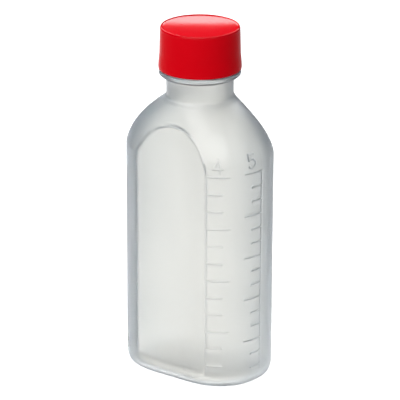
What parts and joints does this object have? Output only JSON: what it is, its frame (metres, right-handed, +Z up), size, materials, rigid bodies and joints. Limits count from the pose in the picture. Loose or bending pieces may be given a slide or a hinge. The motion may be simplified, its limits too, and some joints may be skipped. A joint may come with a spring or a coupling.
{
  "type": "oval graduated bottle with screw cap",
  "caption": "Flat-oval translucent plastic bottle with sunk arched panels, moulded dose scales, a threaded neck and collar, a screw cap and a sealing disc.",
  "frame": {"origin": "middle of the base, on the surface the bottle stands on", "axes": "+Z up along the neck and the cap's thread, X across the width between the two rounded ends, -Y the front panel, with both scales on the +X half of the front"},
  "size_m": [0.0582, 0.0384, 0.1341],
  "materials": {
    "bottle_plastic": "natural translucent polypropylene, satin",
    "cap_plastic": "red moulded polypropylene, semi-gloss",
    "disc_foam": "closed-cell polyethylene foam, white"
  },
  "bodies": {
    "bottle": {"bottle": "bottle_plastic"},
    "disc": {"sealing_disc": "disc_foam"},
    "cap": {"screw_cap": "cap_plastic"}
  },
  "joints": [
    {"name": "cap_lift", "type": "slide", "parent": "bottle", "child": "disc", "axis": [0, 0, 1], "range_m": [0, 0.01681]},
    {"name": "cap_turn", "type": "hinge", "parent": "disc", "child": "cap", "pos_m": [0, 0, 0.126], "axis": [0, 0, 1], "range_deg": [0, 1440]}
  ],
  "couplings": [
    {"joint": "cap_lift", "follows": "cap_turn", "m_per_rad": 0.00066845}
  ]
}
